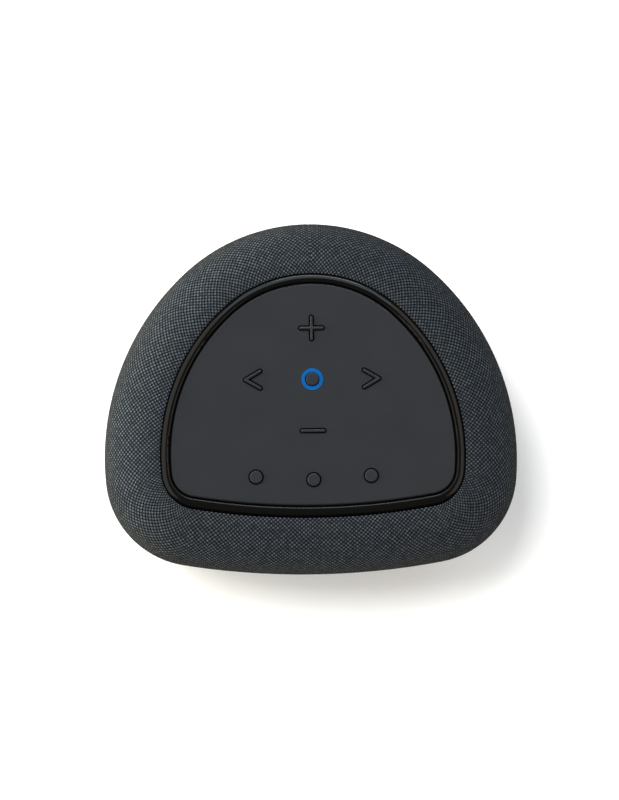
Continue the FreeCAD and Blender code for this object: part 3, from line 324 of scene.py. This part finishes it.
class Graph:
    """A material's nodes, with short calls for the ones that every finish uses."""

    def __init__(self, name, **surface):
        self.material = bpy.data.materials.new(name)
        self.material.use_nodes = True
        self.tree = self.material.node_tree
        self.tree.nodes.clear()
        self.shader = self.node("ShaderNodeBsdfPrincipled", **surface)
        self.surface = self.node("ShaderNodeOutputMaterial").inputs["Surface"]
        self.put(self.surface, self.shader.outputs[0])

    def put(self, socket, value):
        if isinstance(value, bpy.types.NodeSocket):
            self.tree.links.new(value, socket)
        elif isinstance(value, tuple) and len(value) == 3 and socket.type == "RGBA":
            socket.default_value = (*value, 1)
        else:
            socket.default_value = value

    def node(self, kind, settings=None, **inputs):
        made = self.tree.nodes.new(kind)
        for name, value in (settings or {}).items():
            setattr(made, name, value)
        for name, value in inputs.items():
            self.put(made.inputs[name.replace("_", " ")], value)
        return made

    def math(self, operation, *values):
        made = self.tree.nodes.new("ShaderNodeMath")
        made.operation = operation
        for socket, value in zip(made.inputs, values):
            self.put(socket, value)
        return made.outputs[0]

    def object_place(self):
        return self.node("ShaderNodeTexCoord").outputs["Object"]

    def noise(self, scale, detail=3.0, place=None, roughness=0.55):
        made = self.node("ShaderNodeTexNoise", Scale=scale, Detail=detail, Roughness=roughness,
                         Vector=place or self.object_place())
        return made.outputs["Fac"]

    def ramp(self, value, low, high, to_low=0.0, to_high=1.0):
        made = self.node("ShaderNodeMapRange", Value=value)
        for name, limit in zip(("From Min", "From Max", "To Min", "To Max"), (low, high, to_low, to_high)):
            made.inputs[name].default_value = limit
        return made.outputs[0]

    def cloudy(self, noise, low, high):
        """Spread the middle of a noise, where most of it lies, from low to high."""
        return self.ramp(noise, 0.3, 0.7, low, high)

    def blend(self, factor, first, second):
        made = self.tree.nodes.new("ShaderNodeMix")
        made.data_type = "RGBA"
        self.put(made.inputs[0], factor)
        self.put(made.inputs[6], first)
        self.put(made.inputs[7], second)
        return made.outputs[2]

    def colour(self, value):
        self.put(self.shader.inputs["Base Color"], value)

    def drift(self, factor, colour, low, high):
        """Base colour between two shades of one colour."""
        self.colour(self.blend(factor, scaled(colour, low), scaled(colour, high)))

    def upward(self):
        """How far the surface faces up: 1 on top, 0 on an upright wall."""
        normal = self.node("ShaderNodeNewGeometry").outputs["Normal"]
        return self.node("ShaderNodeSeparateXYZ", Vector=normal).outputs[2]

    def rough(self, value):
        self.put(self.shader.inputs["Roughness"], value)

    def bump(self, height, distance, strength=1.0):
        made = self.node("ShaderNodeBump", Height=height, Distance=distance, Strength=strength)
        previous = self.shader.inputs["Normal"]
        if previous.is_linked:
            self.put(made.inputs["Normal"], previous.links[0].from_socket)
        self.put(previous, made.outputs[0])


def scaled(colour, factor):
    return tuple(channel * factor for channel in colour)


def cloth_weave(name):
    """Plain weave on the bias: each crossing is a soft light bump, with a dark gap between four of them.
    The colour is darkened and warmed on upright walls as painted shade.
    """
    g = Graph(name, Sheen_Weight=0.05, Sheen_Roughness=0.3, Sheen_Tint=(1.0, 0.88, 0.76),
              Specular_IOR_Level=0.2)
    cloth = g.node("ShaderNodeUVMap", {"uv_map": "cloth"}).outputs[0]
    wander = g.node("ShaderNodeTexNoise", Scale=THREAD_WANDER_SCALE, Detail=2.0, Vector=cloth)
    shift = g.node("ShaderNodeVectorMath", {"operation": "MULTIPLY_ADD"})
    g.put(shift.inputs[0], wander.outputs["Color"])
    g.put(shift.inputs[1], (THREAD_WANDER,) * 3)
    g.put(shift.inputs[2], cloth)
    split = g.node("ShaderNodeSeparateXYZ", Vector=shift.outputs[0])
    across, up = split.outputs[0], split.outputs[1]
    per_thread = 1 / (THREAD_PITCH * math.sqrt(2))
    warp = g.math("MULTIPLY", g.math("ADD", across, up), per_thread)
    weft = g.math("MULTIPLY", g.math("SUBTRACT", up, across), per_thread)
    warp_wave = g.math("SINE", g.math("MULTIPLY", warp, math.pi))
    weft_wave = g.math("SINE", g.math("MULTIPLY", weft, math.pi))
    warp_size = g.math("ABSOLUTE", warp_wave)
    weft_size = g.math("ABSOLUTE", weft_wave)
    warp_over = g.math("GREATER_THAN", g.math("MULTIPLY", warp_wave, weft_wave), 0.0)
    along_warp = g.math("MULTIPLY", weft_size, g.math("POWER", warp_size, THREAD_SWELL))
    along_weft = g.math("MULTIPLY", warp_size, g.math("POWER", weft_size, THREAD_SWELL))
    height = g.math("ADD", g.math("MULTIPLY", along_warp, warp_over),
                    g.math("MULTIPLY", along_weft, g.math("SUBTRACT", 1.0, warp_over)))
    place = g.object_place()
    cell = g.node("ShaderNodeCombineXYZ", X=g.math("FLOOR", warp), Y=g.math("FLOOR", weft))
    fleck = g.node("ShaderNodeTexWhiteNoise", {"noise_dimensions": "2D"}, Vector=cell.outputs[0])
    fibre = g.noise(3800.0, 4.0, place)
    cloud = g.noise(45.0, 3.0, place)
    yarn_dark = g.blend(cloud, *YARN_DARK)
    yarn_light = g.blend(cloud, *YARN_LIGHT)
    light = g.math("MULTIPLY", g.math("POWER", height, CREST_SHARPNESS),
                   g.ramp(fleck.outputs["Value"], 0.0, 1.0, 0.5, 1.15))
    light = g.math("MULTIPLY", light, g.cloudy(fibre, 0.8, 1.15))
    yarn = g.blend(g.math("MINIMUM", light, 1.0), yarn_dark, yarn_light)
    # painted shade: the yarn colour is darkened and warmed where the cloth faces sideways, and left as it
    # is where the cloth faces up
    yarn_with_painted_shade = g.node("ShaderNodeVectorMath", {"operation": "MULTIPLY"})
    g.put(yarn_with_painted_shade.inputs[0], g.blend(g.ramp(height, 0.05, 0.38), YARN_GAP, yarn))
    g.put(yarn_with_painted_shade.inputs[1], g.blend(g.ramp(g.upward(), 0.25, 0.75), WALL_PAINTED_SHADE, WHITE))
    g.colour(yarn_with_painted_shade.outputs[0])
    g.rough(g.cloudy(fibre, 0.82, 0.98))
    g.bump(fibre, FIBRE_RELIEF, 0.5)
    g.bump(height, THREAD_RELIEF)
    return g.material


def moulded_plastic(name, colour, roughness, grain=0.03 * MM, polish=1.0):
    """Fine spark texture and a little colour drift; all but the top faces are smoother by polish."""
    g = Graph(name)
    place = g.object_place()
    g.drift(g.noise(38.0, 4.0, place), colour, 0.9, 1.1)
    rubbed = g.ramp(g.upward(), 0.93, 0.995, polish, 1.0)
    matt = g.cloudy(g.noise(90.0, 5.0, place), roughness - 0.05, roughness + 0.05)
    g.rough(g.math("MULTIPLY", matt, rubbed))
    g.bump(g.noise(2600.0, 2.0, place), grain, 0.35)
    return g.material


def gloss_plastic(name, colour):
    """Polished black plastic with faint hairline marks and a slight orange peel."""
    g = Graph(name)
    place = g.object_place()
    g.drift(g.noise(60.0, 3.0, place), colour, 0.85, 1.15)
    marks = g.noise(900.0, 6.0, place, 0.7)
    g.rough(g.ramp(marks, 0.35, 0.75, 0.11, 0.18))
    g.bump(g.noise(420.0, 2.0, place), 0.004 * MM, 0.3)
    return g.material


def glowing_plastic(name, colour):
    """Translucent light guide with a slightly uneven glow of its own."""
    g = Graph(name, Roughness=0.35, Subsurface_Weight=0.2, Subsurface_Radius=(0.4 * MM, 0.8 * MM, 1.6 * MM))
    place = g.object_place()
    cloud = g.noise(500.0, 3.0, place)
    g.drift(cloud, colour, 0.85, 1.15)
    g.put(g.shader.inputs["Emission Color"], g.blend(cloud, *GLOW_COLOURS))
    g.shader.inputs["Emission Strength"].default_value = GLOW_STRENGTH
    g.rough(g.cloudy(cloud, 0.3, 0.42))
    g.bump(g.noise(2500.0, 2.0, place), 0.01 * MM, 0.3)
    return g.material


def soft_rubber(name, colour):
    g = Graph(name, Specular_IOR_Level=0.35)
    place = g.object_place()
    g.drift(g.noise(70.0, 5.0, place), colour, 0.8, 1.3)
    g.rough(g.cloudy(g.noise(300.0, 4.0, place), 0.72, 0.9))
    g.bump(g.noise(3200.0, 3.0, place), 0.05 * MM, 0.5)
    return g.material


def foam(name, colour):
    g = Graph(name, Specular_IOR_Level=0.2)
    cells = g.node("ShaderNodeTexVoronoi", Scale=1800.0, Vector=g.object_place()).outputs["Distance"]
    g.drift(cells, colour, 0.6, 1.4)
    g.rough(g.ramp(cells, 0.0, 0.6, 0.85, 1.0))
    g.bump(cells, 0.2 * MM, 0.7)
    return g.material


def metal(name, colour, roughness, fineness=(1.0, 1.0, 12.0)):
    """Bare or plated metal with a faint stain and a drawn grain, which is finest along one axis."""
    g = Graph(name, Metallic=1.0)
    place = g.object_place()
    stretch = g.node("ShaderNodeMapping", Vector=place)
    stretch.inputs["Scale"].default_value = fineness
    grain = g.noise(700.0, 5.0, stretch.outputs[0], 0.65)
    g.drift(g.noise(50.0, 3.0, place), colour, 0.85, 1.08)
    g.rough(g.cloudy(grain, roughness - 0.08, roughness + 0.12))
    g.bump(grain, 0.01 * MM, 0.3)
    return g.material


def ferrite(name, colour):
    g = Graph(name, Specular_IOR_Level=0.4)
    place = g.object_place()
    pits = g.noise(1400.0, 6.0, place, 0.7)
    g.drift(pits, colour, 0.7, 1.4)
    g.rough(g.cloudy(pits, 0.6, 0.85))
    g.bump(pits, 0.08 * MM, 0.6)
    return g.material


def circuit_board(name, colour):
    """Solder mask over faint copper tracks, which run like the joints of brickwork."""
    g = Graph(name, Coat_Weight=0.3, Coat_Roughness=0.25)
    place = g.object_place()
    tracks = g.node("ShaderNodeTexBrick", {"offset": 0.35, "squash": 2.2}, Scale=160.0, Vector=place)
    tracks.inputs["Mortar Size"].default_value = 0.06
    fine = g.noise(240.0, 4.0, place)
    base = g.blend(fine, scaled(colour, 0.75), scaled(colour, 1.2))
    g.colour(g.blend(tracks.outputs["Fac"], base, scaled(colour, 2.2)))
    g.rough(g.cloudy(fine, 0.35, 0.5))
    g.bump(tracks.outputs["Fac"], 0.03 * MM, 0.4)
    return g.material


def pressed_fibre(name, colour):
    """Paper cone: short matted fibres."""
    g = Graph(name, Specular_IOR_Level=0.25)
    place = g.object_place()
    fibres = g.noise(1600.0, 7.0, place, 0.75)
    g.drift(fibres, colour, 0.6, 1.7)
    g.rough(g.cloudy(fibres, 0.75, 0.95))
    g.bump(fibres, 0.12 * MM, 0.7)
    return g.material


def woven_cloth(name, colour, scale=70.0):
    """Square-set cloth for the spider and the domes."""
    g = Graph(name, Sheen_Weight=0.15, Specular_IOR_Level=0.25)
    place = g.object_place()
    wave_x = g.node("ShaderNodeTexWave", {"bands_direction": "X"}, Scale=scale, Vector=place)
    wave_z = g.node("ShaderNodeTexWave", {"bands_direction": "Z"}, Scale=scale, Vector=place)
    weave = g.math("MULTIPLY", wave_x.outputs["Fac"], wave_z.outputs["Fac"])
    g.drift(weave, colour, 0.6, 1.3)
    g.rough(g.cloudy(g.noise(400.0, 4.0, place), 0.65, 0.85))
    g.bump(weave, 0.1 * MM, 0.5)
    return g.material


# material slot: its finish, base colour and what else that finish takes
FINISHES = {
    "fabric": (cloth_weave,),
    "panel_plastic": (moulded_plastic, (0.045, 0.0495, 0.059), 0.5, 0.012 * MM, 0.4),
    "trim_gloss": (gloss_plastic, (0.004, 0.004, 0.004)),
    "light_guide": (glowing_plastic, (0.004, 0.11, 0.42)),
    "housing_plastic": (moulded_plastic, (0.018, 0.018, 0.020), 0.45),
    "grille_plastic": (moulded_plastic, (0.012, 0.012, 0.014), 0.6),
    "foot_rubber": (soft_rubber, (0.018, 0.018, 0.018)),
    "gasket_foam": (foam, (0.03, 0.03, 0.03)),
    "circuit_board": (circuit_board, (0.01, 0.09, 0.04)),
    "component_black": (moulded_plastic, (0.02, 0.02, 0.02), 0.55),
    "switch_metal": (metal, (0.6, 0.6, 0.58), 0.35),
    "screw_steel": (metal, (0.45, 0.45, 0.45), 0.35),
    "magnet_ferrite": (ferrite, (0.07, 0.07, 0.075)),
    "yoke_steel": (metal, (0.5, 0.5, 0.48), 0.4),
    "heat_sink_aluminium": (metal, (0.35, 0.36, 0.38), 0.45, (1.0, 12.0, 1.0)),
    "shield_tin": (metal, (0.65, 0.65, 0.63), 0.3),
    "spacer_brass": (metal, (0.6, 0.45, 0.2), 0.35),
    "cone_paper": (pressed_fibre, (0.03, 0.03, 0.032)),
    "surround_rubber": (soft_rubber, (0.015, 0.015, 0.016)),
    "spider_cloth": (woven_cloth, (0.45, 0.33, 0.16)),
    "dome_silk": (woven_cloth, (0.03, 0.03, 0.035), 110.0),
    "coil_copper": (metal, (0.7, 0.35, 0.18), 0.3, (1.0, 30.0, 1.0)),
    "contact_metal": (metal, (0.75, 0.75, 0.75), 0.2),
    "cable_film": (moulded_plastic, (0.75, 0.73, 0.68), 0.35),
}


def finish_all(cloth):
    """Give every CAD node and piece the finish of its material slot."""
    made = {slot: finish(slot, *values) for slot, (finish, *values) in FINISHES.items()}
    slots = {part["node"]: part["material_slot"] for part in frame["record"]["subparts"]}
    for node, thing in frame["nodes"].items():
        thing.data.materials.clear()
        thing.data.materials.append(made[slots[node]])
    cloth.data.materials.append(made["fabric"])


# ---------------------------------------------------------------- stage, light and camera

def build_floor():
    """Plain white sheet with a faint glow of its own, like a light table; clear when seen from below."""
    half = FLOOR_HALF_WIDTH
    floor = new_object("floor", [(-half, -half, 0), (half, -half, 0), (half, half, 0), (-half, half, 0)],
                       [(0, 1, 2, 3)], smooth=False)
    g = Graph("floor", Roughness=0.9, Specular_IOR_Level=0.0)
    g.colour((FLOOR_GREY,) * 3)
    g.put(g.shader.inputs["Emission Color"], WHITE)
    g.shader.inputs["Emission Strength"].default_value = FLOOR_GLOW
    sides = g.node("ShaderNodeMixShader", Fac=g.node("ShaderNodeNewGeometry").outputs["Backfacing"])
    g.put(sides.inputs[1], g.shader.outputs[0])
    g.put(sides.inputs[2], g.node("ShaderNodeBsdfTransparent").outputs[0])
    g.put(g.surface, sides.outputs[0])
    floor.data.materials.append(g.material)
    floor.visible_diffuse = False
    floor.visible_glossy = False
    return floor


def area_light(name, place, size, brightness, colour=WHITE, mirrored=True, aim=LAMPS_AIM):
    """A soft rectangular lamp; its power follows from its size and how bright its face looks."""
    light = bpy.data.lights.new(name, "AREA")
    light.shape = "RECTANGLE"
    light.size, light.size_y = size
    light.energy = brightness * math.pi * size[0] * size[1]
    light.color = colour
    thing = bpy.data.objects.new(name, light)
    thing.visible_glossy = mirrored
    thing.location = place
    thing.rotation_euler = (Vector(aim) - Vector(place)).to_track_quat("-Z", "Y").to_euler()
    bpy.context.scene.collection.objects.link(thing)
    return thing


def build_light(floor):
    """Dim world, soft lamps all round, and a small lamp overhead that lights nothing but the floor."""
    world = bpy.data.worlds.new("studio")
    world.use_nodes = True
    background = world.node_tree.nodes["Background"]
    background.inputs["Color"].default_value = WORLD_COLOUR
    background.inputs["Strength"].default_value = WORLD_BRIGHTNESS
    bpy.context.scene.world = world
    for lamp in LAMPS:
        area_light(*lamp)
    overhead = area_light("overhead", OVERHEAD_PLACE, OVERHEAD_SIZE, OVERHEAD_BRIGHTNESS, aim=(0, 0, 0))
    only_floor = bpy.data.collections.new("lit_by_overhead")
    only_floor.objects.link(floor)
    overhead.light_linking.receiver_collection = only_floor


def build_camera():
    """Nearly straight down, a little from the front and the left, rolled by less than a degree."""
    lean = Vector((-math.tan(CAMERA_LEAN_LEFT), -math.tan(CAMERA_LEAN_FRONT), 1)).normalized()
    right = Vector((0, 1, 0)).cross(lean).normalized()
    turned = Matrix((right, lean.cross(right), lean)).transposed().to_4x4()
    place = Matrix.Translation(CAMERA_TARGET + lean * CAMERA_DISTANCE)
    camera = bpy.data.objects.new("camera", bpy.data.cameras.new("camera"))
    camera.matrix_world = place @ turned @ Matrix.Rotation(CAMERA_ROLL, 4, "Z")
    camera.data.sensor_fit = "HORIZONTAL"
    camera.data.angle = CAMERA_ANGLE
    bpy.context.scene.collection.objects.link(camera)
    bpy.context.scene.camera = camera
    bpy.context.scene.view_settings.view_transform = "Standard"


build_camera()
cover = build_cloth()
finish_all(cover)
build_light(build_floor())
